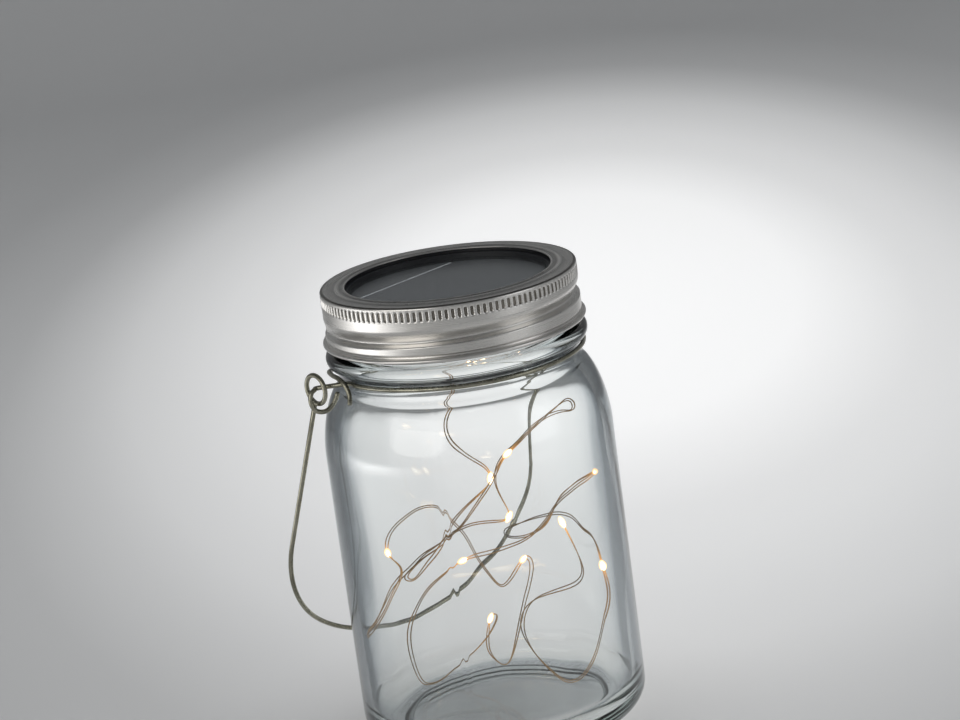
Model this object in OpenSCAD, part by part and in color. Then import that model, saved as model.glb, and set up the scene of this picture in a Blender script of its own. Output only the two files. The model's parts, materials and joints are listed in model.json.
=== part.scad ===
// Solar mason jar lantern: a glass jar with a wire bail handle, a two-piece screw lid that
// holds a solar light unit, and a string of small lights hanging inside the jar.
// The jar stands on Z = 0, its axis is the Z axis and its front faces -Y.

/* [Jar] */
// Height of the glass from its foot to its rim
jar_h = 132.6; // [128:0.1:140]
// Outside radius of the straight body
body_r = 42.1; // [41.5:0.1:44]
// Thickness of the body wall
wall = 2.8; // [2.2:0.1:3.4]
// Outside radius of the neck under the screw band
neck_r = 34.6; // [34.4:0.1:34.7]
// Radius of the round mouth
mouth_r = 31.0; // [30.8:0.1:31.4]
// Height that the screw thread climbs in one turn
thread_pitch = 5.08; // [4.6:0.01:5.4]

/* [Lid] */
// Outside radius of the knurled part of the band
band_r = 37.15; // [37:0.05:37.5]
// Height of the band
band_h = 16.3; // [15.8:0.1:16.6]
// Thickness of the band's sheet steel
sheet = 0.45; // [0.35:0.05:0.5]
// Radius of the window in the band
window_r = 29.0; // [28:0.1:29.2]

/* [Solar unit] */
// Outside radius of the plastic cup that hangs in the mouth
cup_r = 30.4; // [30:0.1:30.4]
// Depth of the cup below the top of the band
cup_depth = 18.0; // [17.6:0.1:20]
// Diameter of the battery cell
cell_d = 10.0; // [9.5:0.1:10.2]
// Length of the battery cell
cell_l = 29.0; // [26:0.5:32]

/* [Handle] */
// Diameter of the handle and neck wires
wire_d = 1.4; // [1.2:0.1:1.5]
// Distance from the jar's axis to each of the two handle hooks
hook_r = 44.3; // [44:0.1:45]
// Direction of the left hook, in degrees from +X
hook_left = 200.7; // [198:0.1:203]
// Direction of the right hook, in degrees from +X
hook_right = 56.4; // [54:0.1:59]
// Length of the handle from its hinge line to the middle of its bow
bail_l = 93.6; // [90:0.1:96]
// Largest half-width of the handle's bow
bail_w = 47.6; // [47:0.1:49]
// How far the handle hangs back from straight down, leaning on the jar
bail_lean = 18.3; // [18.2:0.1:19]

/* [Lights] */
// Diameter of the twin light wire
string_d = 0.9; // [0.7:0.1:1]
// Diameter of the resin drop over each light
bead_d = 2.6; // [2.2:0.1:3]

/* [Hidden] */
$fn = 64;

// Heights of the lid's layers, from the top of the band downwards.
lid_top = jar_h + 3.4;
flange_low = lid_top - sheet;
lip_low = lid_top - 1.3;
housing_top = flange_low - 0.1;
flange_t = 1.6;
gasket_t = 1.2;
panel_top = lid_top - 2.8;
panel_low = lid_top - 4.8;
ledge_t = 1.0;
cup_low = lid_top - cup_depth;
cover_t = 1.4;
band_low = lid_top - band_h;

// The jar's outline, from the foot up.
foot_in = 31.0;
foot_out = 34.5;
heel_r = 7.6;
push_up = 1.8;
floor_t = 3.2;
floor_z = push_up + floor_t;
shoulder_low = lid_top - 48.6;
shoulder_top = lid_top - 27.4;
groove_z = lid_top - 24.0;
groove_r = 35.6;
bead_z = lid_top - 20.2;
bead_r = 38.1;
bulge = 1.75;
arc_steps = 12;
function outer_body(t) = [34.0 + (body_r - 34.0) * pow(1 - pow(t, bulge), 1 / bulge),
    shoulder_low + t * (shoulder_top - shoulder_low)];
function inner_body(t) = [mouth_r - 1 + (body_r - wall - mouth_r + 1) * pow(1 - pow(t, 2), 1 / 2),
    shoulder_low - 1 + t * (shoulder_top - 1.5 - shoulder_low)];
function quarter(cx, cz, r, from, to) =
    [for (i = [0:8]) let (a = from + (to - from) * i / 8) [cx + r * cos(a), cz + r * sin(a)]];
jar_outline = concat(
    [[0, push_up], [foot_in - 2, push_up], [foot_in, 0], [foot_out, 0]],
    quarter(body_r - heel_r, heel_r, heel_r, -90, 0),
    [for (i = [0:arc_steps - 1]) outer_body(i / arc_steps)],
    [[35.0, shoulder_top + 0.6], [groove_r - 0.4, groove_z - 1.2], [groove_r, groove_z],
     [groove_r + 0.3, groove_z + 0.9]],
    [for (a = [-60:15:60]) [bead_r - 2.4 + 2.4 * cos(a), bead_z + 2.7 * sin(a)]],
    [[neck_r + 0.6, bead_z + 2.9], [neck_r, bead_z + 3.4], [neck_r, jar_h - 1.6],
     [neck_r - 0.5, jar_h - 0.6], [neck_r - 1.3, jar_h], [mouth_r + 0.8, jar_h],
     [mouth_r, jar_h - 0.8], [mouth_r, shoulder_top + 2]],
    [for (i = [arc_steps:-1:0]) inner_body(i / arc_steps * 0.97)],
    quarter(body_r - wall - heel_r, floor_z + heel_r, heel_r, 0, -90),
    [[0, floor_z]]);

// The screw thread: a ridge on the neck and the pressed groove in the band follow one helix.
thread_front_z = lid_top - 10.1;
band_thread = [-190, 185];
neck_thread = [-330, 40];
thread_steps = 50;
fade = 40;
function thread_z(a) = thread_front_z + thread_pitch * (a + 90) / 360;
function faded(a, ends) = max(0.04, min(1, (a - ends[0]) / fade, (ends[1] - a) / fade));

// The hinge line of the handle runs through both hooks.
left_hook = [hook_r * cos(hook_left), hook_r * sin(hook_left), lid_top - 24.9];
right_hook = [hook_r * cos(hook_right), hook_r * sin(hook_right), lid_top - 24.9];
hinge_mid = (left_hook + right_hook) / 2;
hinge_half = norm(right_hook - left_hook) / 2;
hinge_turn = atan2(right_hook[1] - left_hook[1], right_hook[0] - left_hook[0]);
along = [cos(hinge_turn), sin(hinge_turn), 0];
behind = [-sin(hinge_turn), cos(hinge_turn), 0];
eye_r = 4.2;
corner_r = 35;
bow_r = 55;

// The neck wire: each hook is a loop that passes through the handle's eye on the hinge line.
// A loop's points are [outwards, back, up] from the hook.
wire_ring_r = groove_r + 0.2 + wire_d / 2;
hook_in = [[-1.0, 0, 0.2], [0.4, 0.1, 0], [1.7, 0.3, -0.9], [2.3, 0.2, -3.2], [1.6, -0.1, -5.5],
    [0, -0.5, -6.6]];
hook_end = [[-2.0, -1.2, -6.6], [-4.0, -2.0, -5.0], [-5.4, -2.6, -2.2]];
hook_on = [[-2.2, -0.4, -6.3], [-4.6, 0.6, -4.4], [-7.0, 1.8, -1.4]];
// The wire's tail, over its own front run: [direction, radius, height above the groove].
tail = [[186, 37.2, 0.9], [193, 38.3, 1.7], [200, 38.6, 1.8], [206, 38.6, 1.7], [210, 38.4, 0.6],
    [212, 38.2, -1.2], [213, 38.3, -3.0], [214, 39.0, -4.9]];
function at_left(p) = left_hook - p[0] * along + p[1] * behind + [0, 0, p[2]];
function at_right(p) = right_hook + p[0] * along + p[1] * behind + [0, 0, p[2]];
function on_ring(a) = [wire_ring_r * cos(a), wire_ring_r * sin(a), groove_z];
neck_wire_line = concat(
    smooth([for (i = [2:-1:0]) at_left(hook_end[i])], 2),
    smooth([for (i = [5:-1:0]) at_left(hook_in[i])], 3),
    [for (a = [209:6:401]) on_ring(a)],
    [on_ring(410)],
    smooth([for (i = [0:5]) at_right(hook_in[i])], 3),
    smooth([for (i = [0:2]) at_right(hook_on[i])], 2),
    [for (a = [68:6:176]) on_ring(a)],
    smooth([for (t = tail) [t[1] * cos(t[0]), t[1] * sin(t[0]), groove_z + t[2]]], 2));

// The light string's route, from the grommet to its last light.
route = [[-3, 0, 128], [-3, 0, 116], [-3, 2, 105], [-6, 5, 91], [-3, 9, 80], [5, 8, 71], [-7, 0, 63],
    [-16, -6, 53], [-22, -8, 50], [-6, -2, 59], [3, 2, 70], [10, 0, 80], [19, -8, 90],
    [28, -12, 98], [30, -8, 93], [23, -4, 92], [12, 4, 81], [5, 12, 69], [9, 14, 56],
    [-3, 8, 58], [-17, 2, 53], [-30, -2, 43], [-37, -8, 32], [-29, -14, 45], [-24, -12, 53],
    [-28, -6, 57], [-26, 4, 61], [-15, 12, 64], [-6, 18, 53], [-2, 20, 43], [4, 16, 34],
    [13, 8, 45], [9, 12, 28], [3, 6, 13], [-4, 14, 15], [1, 20, 25], [-9, 24, 11],
    [-24, 14, 7], [-26, 4, 28], [-18, -2, 43], [-7, -10, 53], [3, -14, 56], [14, -14, 59],
    [23, -10, 67], [36, -2, 72], [26, 8, 64], [17, 14, 51], [7, 20, 50], [26, 22, 53],
    [33, 14, 47], [34, 4, 41], [33, -6, 30], [21, -10, 10], [8, -18, 29], [11, -24, 43],
    [27, -20, 46], [23, -12, 61]];
lit_points = [5, 11, 18, 25, 31, 35, 40, 44, 50, 56];
string_rings = 80;
string_line = [for (i = [0:string_rings - 1]) at_step(route, i * (len(route) - 1) / (string_rings - 1))];

// Layout inside the solar unit.
chord_turn = 46.9;
chord_off = 18;
ribbon_w = 0.6;
board_top = panel_low - ledge_t - 0.6;
board_t = 1.2;
board_low = board_top - board_t;
cell_y = 10;
cell_z = cup_low + cover_t + 0.4 + cell_d / 2;
switch_x = 0;
switch_y = -13;
screw_angles = [0, 225, 315];
grommet_at = [-3, 0];

// A smooth line through points, with that many steps between neighbours.
function spline(a, b, c, d, t) = 0.5 * (2 * b + (c - a) * t + (2 * a - 5 * b + 4 * c - d) * t * t
    + (3 * b - a - 3 * c + d) * t * t * t);
function at_step(p, s) = let (n = len(p) - 1, i = min(floor(s), n - 1))
    spline(i > 0 ? p[i - 1] : 2 * p[0] - p[1], p[i], p[i + 1],
        i + 2 <= n ? p[i + 2] : 2 * p[n] - p[n - 1], s - i);
function smooth(p, steps) =
    [for (i = [0:(len(p) - 1) * steps]) at_step(p, i / steps)];

// A round tube along a line, carried from ring to ring without twist.
function unit(v) = v / norm(v);
function heading(p, i) = unit(p[min(i + 1, len(p) - 1)] - p[max(i - 1, 0)]);
function square_to(v, t) = unit(v - (v * t) * t);
function start_side(t) = square_to(abs(t[2]) < 0.9 ? [0, 0, 1] : [1, 0, 0], t);
module tube(p, r, sides) {
    n = len(p);
    side = [for (i = 0, s = start_side(heading(p, 0)); i < n;
        i = i + 1, s = square_to(s, heading(p, min(i, n - 1)))) s];
    rings = [for (i = [0:n - 1], k = [0:sides - 1]) let (a = 360 * k / sides)
        p[i] + r * (cos(a) * side[i] + sin(a) * cross(heading(p, i), side[i]))];
    skin = [for (i = [0:n - 2], k = [0:sides - 1]) let (j = (k + 1) % sides)
        [i * sides + k, (i + 1) * sides + k, (i + 1) * sides + j, i * sides + j]];
    ends = [[for (k = [0:sides - 1]) k], [for (k = [sides - 1:-1:0]) (n - 1) * sides + k]];
    polyhedron(rings, concat(skin, ends), convexity = 10);
}

// A ridge of the given outline that climbs the thread's helix, fading in and out.
module helix_ridge(outline, base_r, ends) {
    m = len(outline);
    turns = [for (i = [0:thread_steps]) ends[0] + (ends[1] - ends[0]) * i / thread_steps];
    points = [for (a = turns, q = outline)
        let (r = base_r + (q[0] * outline[0][0] > 0 ? q[0] : q[0] * faded(a, ends)))
        [r * cos(a), r * sin(a), thread_z(a) + q[1]]];
    skin = [for (i = [0:thread_steps - 1], k = [0:m - 1]) let (j = (k + 1) % m)
        [i * m + k, i * m + j, (i + 1) * m + j, (i + 1) * m + k]];
    caps = [[for (k = [m - 1:-1:0]) k], [for (k = [0:m - 1]) thread_steps * m + k]];
    polyhedron(points, concat(skin, caps), convexity = 10);
}

module ring(r_in, r_out, low, high) {
    rotate_extrude() polygon([[r_in, low], [r_out, low], [r_out, high], [r_in, high]]);
}

module glass_jar() {
    color([0.85, 0.92, 0.9, 0.35]) {
        rotate_extrude() polygon(jar_outline);
        helix_ridge([[-0.4, 1.8], [1.15, 2.2], [1.15, 3.0], [-0.4, 3.6]], neck_r, neck_thread);
    }
}

module neck_wire() {
    color("darkkhaki") tube(neck_wire_line, wire_d / 2, 8);
}

// The handle, drawn flat: X along the hinge line, Y from it towards the bow.
module bail_handle() {
    corner_x = bail_w - corner_r;
    bow_y = bail_l - bow_r;
    corner_y = bow_y + sqrt(pow(bow_r - corner_r, 2) - pow(corner_x, 2));
    away = [corner_x - hinge_half, corner_y - eye_r];
    flare = atan2(-away[0], away[1]) - asin(corner_r / norm(away));
    bow_a = atan2(corner_y - bow_y, corner_x);
    half = concat([[hinge_half, eye_r]],
        [for (i = [0:12]) let (a = flare + (bow_a - flare) * i / 12)
            [corner_x + corner_r * cos(a), corner_y + corner_r * sin(a)]],
        [for (i = [1:5]) let (a = bow_a + (90 - bow_a) * i / 6)
            [bow_r * cos(a), bow_y + bow_r * sin(a)]]);
    line = concat([for (p = half) [p[0], p[1], 0]], [[0, bail_l, 0]],
        [for (i = [len(half) - 1:-1:0]) [-half[i][0], half[i][1], 0]]);
    color("darkkhaki")
    translate(hinge_mid) rotate([0, 0, hinge_turn]) rotate([bail_lean - 90, 0, 0]) {
        tube(line, wire_d / 2, 10);
        for (x = [-hinge_half, hinge_half]) translate([x, 0, 0]) rotate([0, 90, 0])
            rotate_extrude() translate([eye_r, 0]) circle(r = wire_d / 2);
    }
}

// The band is one pressed sheet: its outline is carried round in steps, and every point under
// the thread's helix is pushed inwards by the depth of the groove there.
function groove_depth(dz) =
    lookup(dz, [[-1.2, 0], [-0.6, 1.5], [0, 1.9], [1.2, 0.9], [3.0, 0]]);
function pressed(a, z) = max([for (turn = [-1:1]) let (at = a + 360 * turn)
    at < band_thread[0] || at > band_thread[1] ? 0
        : groove_depth(z - thread_z(at)) * faded(at, band_thread)]);
skirt_rows = [for (z = [lid_top - 5.2:-0.75:lid_top - 13.5]) z];
bead_c = [band_r + 0.4, band_low + 0.65];
band_outline = concat(
    [[window_r, lip_low], [window_r + 0.4, lid_top - 0.4], [window_r + 1.2, lid_top],
     [window_r + 3.0, lid_top - 0.1], [band_r - 1.0, lid_top - 0.1], [band_r - 0.3, lid_top - 0.4],
     [band_r, lid_top - 1.2]],
    [for (z = skirt_rows) [band_r, z]],
    [[band_r - 0.5, lid_top - 14.6], [band_r + 0.1, lid_top - 15.0]],
    [for (a = [45:-45:-90]) bead_c + 0.65 * [cos(a), sin(a)]],
    [[band_r - 0.3 - sheet, band_low]],
    [for (i = [len(skirt_rows) - 1:-1:0]) [band_r - sheet, skirt_rows[i]]],
    [[band_r - sheet, lid_top - 1.3], [band_r - 1.1, flange_low - 0.05],
     [window_r + 1.4, flange_low - 0.05], [window_r + sheet, lip_low]]);

module screw_band() {
    steps = 60;
    m = len(band_outline);
    points = [for (i = [0:steps - 1], q = band_outline)
        let (a = 360 * i / steps - 180, r = q[0] - pressed(a, q[1]))
        [r * cos(a), r * sin(a), q[1]]];
    skin = [for (i = [0:steps - 1], k = [0:m - 1]) let (j = (k + 1) % m, n = (i + 1) % steps)
        [i * m + k, i * m + j, n * m + j, n * m + k]];
    color("silver") polyhedron(points, skin, convexity = 10);
}

module solar_housing() {
    wall_in = cup_r - 1.3;
    lip_room = window_r + 1.9;
    boss_r = 3;
    color([0.05, 0.05, 0.06]) difference() {
        union() {
            rotate_extrude() polygon([
                [cup_r, cup_low], [cup_r, housing_top - flange_t], [35.0, housing_top - flange_t],
                [35.0, housing_top], [lip_room, housing_top], [lip_room, lip_low - 0.15],
                [wall_in, lip_low - 0.15], [wall_in, panel_low],
                [wall_in - 1.9, panel_low], [wall_in - 1.9, panel_low - ledge_t],
                [wall_in - 0.3, panel_low - ledge_t], [wall_in - 0.3, cup_low]]);
            for (a = screw_angles) rotate([0, 0, a]) translate([26, 0, cup_low + cover_t])
                cylinder(r = boss_r, h = board_top - board_t - cup_low - cover_t - 0.05);
        }
        for (a = screw_angles) rotate([0, 0, a]) translate([26, 0, cup_low])
            cylinder(r = 1.0, h = 8);
    }
}

module rim_gasket() {
    color([0.75, 0.76, 0.76]) ring(mouth_r + 0.2, 34.3, jar_h + 0.02, jar_h + gasket_t);
}

module panel_board() {
    color("darkgreen") translate([0, 0, panel_low + 0.02]) cylinder(r = cup_r - 1.4, h = 0.78);
}

// The cell strips lie side by side across the panel, cut to its circle.
module cell_strip(from, to) {
    intersection() {
        translate([0, 0, panel_low + 0.8]) cylinder(r = cup_r - 1.7, h = 0.3);
        rotate([0, 0, chord_turn]) translate([-40, from, panel_low]) cube([80, to - from, 3]);
    }
}

module solar_cells() {
    color([0.2, 0.21, 0.22]) {
        cell_strip(-29, chord_off - ribbon_w / 2 - 0.05);
        cell_strip(chord_off + ribbon_w / 2 + 0.05, 29);
    }
}

module cell_ribbon() {
    half = sqrt(pow(cup_r - 2.4, 2) - pow(chord_off, 2));
    color([0.6, 0.62, 0.62]) rotate([0, 0, chord_turn])
        translate([-half, chord_off - ribbon_w / 2, panel_low + 0.8]) cube([2 * half, ribbon_w, 0.32]);
}

module panel_cover() {
    color([0.3, 0.32, 0.33, 0.6]) translate([0, 0, panel_low + 1.14])
        cylinder(r = cup_r - 1.4, h = panel_top - panel_low - 1.14);
}

module bottom_cover() {
    color([0.07, 0.07, 0.08]) difference() {
        translate([0, 0, cup_low]) cylinder(r = cup_r - 1.7, h = cover_t - 0.02);
        for (a = screw_angles) rotate([0, 0, a]) translate([26, 0, cup_low - 1]) {
            cylinder(r = 1.1, h = 4);
            cylinder(r = 2.0, h = 1.9);
        }
        translate([grommet_at[0], grommet_at[1], cup_low - 1]) cylinder(r = 1.8, h = 4);
        translate([switch_x - 2.9, switch_y - 1.1, cup_low - 1]) cube([5.8, 2.2, 4]);
    }
}

module cover_screws() {
    color("gray") for (a = screw_angles) rotate([0, 0, a]) translate([26, 0, cup_low + 0.05])
        difference() {
            union() {
                cylinder(r = 1.85, h = 0.8);
                cylinder(r = 0.95, h = 6);
            }
            translate([-1.2, -0.2, -1]) cube([2.4, 0.4, 1.4]);
            translate([-0.2, -1.2, -1]) cube([0.4, 2.4, 1.4]);
        }
}

module circuit_board() {
    color("darkgreen") difference() {
        translate([-17, -22, board_top - board_t]) cube([34, 24, board_t]);
        for (x = [-6, -4]) translate([x, 0.5, board_top - 3]) cylinder(r = 0.45, h = 6);
    }
}

// Parts soldered under the circuit board hang from its lower face.
module driver_chip() {
    color([0.08, 0.08, 0.08]) translate([-11, -12, board_low - 1.6]) cube([5, 4, 1.5]);
    color("silver") for (x = [0:3], y = [0, 1])
        translate([-10.6 + 1.27 * x, -12.7 + y * 4.7, board_low - 1.2]) cube([0.4, 0.7, 1.18]);
}

module inductor() {
    color([0.25, 0.25, 0.26]) translate([9, -8, board_low - 3.05]) cylinder(r = 2.4, h = 3);
}

module capacitor() {
    color("navy") translate([9, -16, board_low - 5.05]) cylinder(r = 2, h = 5);
}

module battery_cell() {
    color("seagreen") translate([-cell_l / 2, cell_y, cell_z]) rotate([0, 90, 0]) {
        cylinder(r = cell_d / 2, h = cell_l - 0.8);
        cylinder(r = 1.9, h = cell_l);
    }
}

module battery_plate() {
    color("gold") translate([cell_l / 2 + 0.05, cell_y - 3.5, cell_z - 4]) cube([0.4, 7, 8]);
}

// The spring contact is a cone of coiled wire whose wide end is pressed into a plate.
module battery_spring() {
    turns = 3;
    per_turn = 14;
    coil = [for (i = [0:turns * per_turn]) let (a = 360 * i / per_turn, t = i / per_turn / turns)
        [(1.4 + 1.6 * t) * cos(a), (1.4 + 1.6 * t) * sin(a), 0.3 + 1.85 * t]];
    color("gold") translate([-cell_l / 2 - 0.05, cell_y, cell_z]) rotate([0, -90, 0]) {
        tube(coil, 0.25, 6);
        translate([-3.5, -3.5, 2.0]) cube([7, 7, 0.4]);
    }
}

module switch_body() {
    color([0.1, 0.1, 0.1]) difference() {
        translate([switch_x - 5, switch_y - 2.2, cup_low + cover_t]) cube([10, 4.4, 4]);
        translate([switch_x - 3.0, switch_y - 1.1, cup_low + cover_t - 1]) cube([6.0, 2.2, 3.6]);
    }
}

// The slider rests in its ON place and travels along +X to OFF.
module switch_slider() {
    color([0.9, 0.9, 0.88]) translate([switch_x - 2.8, switch_y - 0.95, cup_low - 1.4])
        cube([3.0, 1.9, 5.2]);
}

module panel_leads() {
    for (i = [0, 1]) color(i == 0 ? "red" : "black")
        tube(smooth([[-6 + 2 * i, 8, panel_low - 0.2], [-6 + 2 * i, 6, panel_low - 0.7],
            [-6 + 2 * i, 2, panel_low - 0.9], [-6 + 2 * i, 0.5, board_top - 0.6]], 3), 0.35, 8);
}

module battery_leads() {
    for (side = [-1, 1]) color(side < 0 ? "black" : "red")
        tube(smooth([[side * 17.6, 6.0, cell_z + 2], [side * 17.8, 3, cell_z + 2.2],
            [side * 16, 0, cell_z + 2.6], [side * 13, -3, board_low - 0.6]], 3), 0.4, 8);
}

module string_grommet() {
    color([0.1, 0.1, 0.1]) translate([grommet_at[0], grommet_at[1], 0]) rotate_extrude()
        polygon([[string_d / 2 + 0.05, cup_low - 3.5], [1.1, cup_low - 3.5], [1.6, cup_low - 1.1],
            [2.6, cup_low - 1.0], [2.6, cup_low - 0.05], [1.7, cup_low - 0.05],
            [1.7, cup_low + cover_t + 0.05], [2.4, cup_low + cover_t + 0.05],
            [2.1, cup_low + cover_t + 0.9], [string_d / 2 + 0.05, cup_low + cover_t + 0.9]]);
}

module string_wire() {
    color("peru") tube(string_line, string_d / 2, 8);
}

module led_beads() {
    color("lightyellow") for (i = lit_points) translate(route[i]) sphere(r = bead_d / 2);
}

glass_jar();
neck_wire();
bail_handle();
screw_band();
solar_housing();
rim_gasket();
panel_board();
solar_cells();
cell_ribbon();
panel_cover();
bottom_cover();
cover_screws();
circuit_board();
driver_chip();
inductor();
capacitor();
battery_cell();
battery_spring();
battery_plate();
switch_body();
switch_slider();
panel_leads();
battery_leads();
string_grommet();
string_wire();
led_beads();
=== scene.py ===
"""Looks of the solar mason jar lantern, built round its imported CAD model. Lengths are metres."""
import json
import math

import bpy
from mathutils import Matrix, Vector


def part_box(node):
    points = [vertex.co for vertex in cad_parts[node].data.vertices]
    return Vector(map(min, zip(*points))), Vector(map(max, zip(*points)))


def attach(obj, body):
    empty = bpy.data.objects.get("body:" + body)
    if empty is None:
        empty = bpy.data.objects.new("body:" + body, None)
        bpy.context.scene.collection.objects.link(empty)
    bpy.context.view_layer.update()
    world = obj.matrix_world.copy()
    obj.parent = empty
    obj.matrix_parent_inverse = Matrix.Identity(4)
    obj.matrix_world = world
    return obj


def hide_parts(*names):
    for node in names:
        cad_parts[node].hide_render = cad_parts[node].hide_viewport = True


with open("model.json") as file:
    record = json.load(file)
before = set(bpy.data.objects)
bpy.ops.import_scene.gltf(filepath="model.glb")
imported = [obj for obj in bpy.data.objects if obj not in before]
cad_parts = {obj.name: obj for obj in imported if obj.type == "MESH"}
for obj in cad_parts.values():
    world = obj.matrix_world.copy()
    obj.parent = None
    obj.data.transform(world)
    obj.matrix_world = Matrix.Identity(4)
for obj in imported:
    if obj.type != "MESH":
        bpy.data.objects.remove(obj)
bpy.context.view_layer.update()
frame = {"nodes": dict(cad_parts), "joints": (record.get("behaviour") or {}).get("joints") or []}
MM = 0.001
NODES = frame["nodes"]

# Heights and radii that every piece is placed from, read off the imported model.
LID_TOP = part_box("screw_band")[1].z
BAND_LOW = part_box("screw_band")[0].z
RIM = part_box("glass_jar")[1].z
BODY_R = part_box("glass_jar")[1].x
HINGE = next(j for j in frame["joints"] if j["name"] == "bail_swing")
HINGE_MID = Vector(HINGE["pos_m"])
ALONG = Vector(HINGE["axis"]).normalized()
BEHIND = Vector((-ALONG.y, ALONG.x, 0))
UP = Vector((0, 0, 1))

# The middle of the groove round the neck, where the wire lies.
GROOVE_Z = LID_TOP - 24.0 * MM


# ---------------------------------------------------------------- camera

def make_camera():
    """A long lens a little above the lid, with the camera rolled so that the jar leans."""
    distance, elevation = 0.9, math.radians(13.3)
    yaw, pitch, roll = (math.radians(a) for a in (-0.377, -1.661, 7.78))
    back = Vector((0, -math.cos(elevation), math.sin(elevation)))
    ahead = -back
    right = ahead.cross(UP).normalized()
    up = right.cross(ahead)
    turn = Matrix.Rotation(yaw, 3, up)
    ahead, right = turn @ ahead, turn @ right
    turn = Matrix.Rotation(pitch, 3, right)
    ahead, up = turn @ ahead, turn @ up
    turn = Matrix.Rotation(roll, 3, ahead)
    right, up = turn @ right, turn @ up
    data = bpy.data.cameras.new("camera")
    data.sensor_width = 36
    data.lens = 117.56
    data.clip_start, data.clip_end = 0.01, 20
    camera = bpy.data.objects.new("camera", data)
    bpy.context.scene.collection.objects.link(camera)
    axes = Matrix((right, up, -ahead)).transposed().to_4x4()
    camera.matrix_world = Matrix.Translation(Vector((0, 0, LID_TOP)) + back * distance) @ axes
    bpy.context.scene.camera = camera


# ---------------------------------------------------------------- mesh helpers

def add_mesh(name, points, faces, material):
    """A smooth-shaded piece, linked to the scene."""
    mesh = bpy.data.meshes.new(name)
    mesh.from_pydata([tuple(p) for p in points], [], faces)
    mesh.polygons.foreach_set("use_smooth", [True] * len(mesh.polygons))
    mesh.materials.append(material)
    mesh.update()
    piece = bpy.data.objects.new(name, mesh)
    bpy.context.scene.collection.objects.link(piece)
    return piece


def spline_point(points, step):
    """A point on the smooth line through points; whole steps fall on the points themselves."""
    last = len(points) - 1
    i = min(int(step), last - 1)
    t = step - i
    b, c = points[i], points[i + 1]
    a = points[i - 1] if i else 2 * b - c
    d = points[i + 2] if i + 2 <= last else 2 * c - b
    return 0.5 * (2 * b + (c - a) * t + (2 * a - 5 * b + 4 * c - d) * t ** 2
                  + (3 * b - a - 3 * c + d) * t ** 3)


def smooth_line(points, per_step):
    """The smooth line through points, with per_step points from each of them to the next."""
    count = (len(points) - 1) * per_step
    return [spline_point(points, i / per_step) for i in range(count + 1)]


def relaxed(line, passes):
    """The line with its sharpest bends eased; its two ends stay where they are."""
    for _ in range(passes):
        eased = [(a + 2 * b + c) / 4 for a, b, c in zip(line, line[1:], line[2:])]
        line = [line[0], *eased, line[-1]]
    return line


def sides_along(line):
    """For each point of a line, its heading and two directions square to it, without twist."""
    last = len(line) - 1
    headings = [(line[min(i + 1, last)] - line[max(i - 1, 0)]).normalized() for i in range(last + 1)]
    start = UP if abs(headings[0].z) < 0.9 else Vector((1, 0, 0))
    rows = []
    for heading in headings:
        start = (start - start.dot(heading) * heading).normalized()
        rows.append((heading, start, heading.cross(start)))
    return rows


def tube_parts(line, radius, sides, first=0):
    """Points and faces of a closed round tube with bevelled ends, numbered from first."""
    rows = sides_along(line)
    end_reach, end_r = radius * 0.5, radius * 0.55
    rings = [(line[0] - rows[0][0] * end_reach, rows[0], end_r)]
    rings += [(p, row, radius) for p, row in zip(line, rows)]
    rings += [(line[-1] + rows[-1][0] * end_reach, rows[-1], end_r)]
    points = [centre + r * (math.cos(a) * row[1] + math.sin(a) * row[2])
              for centre, row, r in rings
              for a in (2 * math.pi * k / sides for k in range(sides))]
    faces = []
    for i in range(len(rings) - 1):
        for k in range(sides):
            j = (k + 1) % sides
            corners = (i * sides + k, i * sides + j, (i + 1) * sides + j, (i + 1) * sides + k)
            faces.append(tuple(first + c for c in corners))
    faces.append(tuple(first + k for k in reversed(range(sides))))
    faces.append(tuple(first + (len(rings) - 1) * sides + k for k in range(sides)))
    return points, faces


def turned(name, outline, steps, material, shift=None):
    """A body of revolution. outline is (radius, height) pairs in order: a line that starts on the
    axis, or else a closed loop. shift(row, radius, height, angle) may add to a point's radius."""
    points, rings = [], []
    for row, (radius, height) in enumerate(outline):
        if radius == 0:
            rings.append([len(points)])
            points.append((0, 0, height))
            continue
        rings.append(range(len(points), len(points) + steps))
        for k in range(steps):
            a = 2 * math.pi * k / steps
            r = radius + (shift(row, radius, height, a) if shift else 0)
            points.append((r * math.cos(a), r * math.sin(a), height))
    back_to_start = [] if len(rings[0]) == 1 else [rings[0]]
    faces = []
    for low, high in zip(rings, rings[1:] + back_to_start):
        for k in range(steps):
            j = (k + 1) % steps
            if len(low) == 1:
                faces.append((low[0], high[j], high[k]))
            elif len(high) == 1:
                faces.append((low[k], low[j], high[0]))
            else:
                faces.append((low[k], low[j], high[j], high[k]))
    return add_mesh(name, points, faces, material)


def arc(centre_r, centre_z, radius, start, end, count):
    """Points of an arc in the (radius, height) plane, in metres, angles in degrees."""
    angles = [math.radians(start + (end - start) * i / count) for i in range(count + 1)]
    return [(centre_r + radius * math.cos(a), centre_z + radius * math.sin(a)) for a in angles]


def blended(corners, per_step=6):
    """A smooth (radius, height) line through corners."""
    return [tuple(p) for p in smooth_line([Vector(c) for c in corners], per_step)]


def waves(*terms):
    """A smooth wobble: the sum of size * sin(around * angle + rise * height + start)."""
    def at(angle, height):
        return sum(size * math.sin(around * angle + rise * height + start)
                   for size, around, rise, start in terms)
    return at


# ---------------------------------------------------------------- materials

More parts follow.
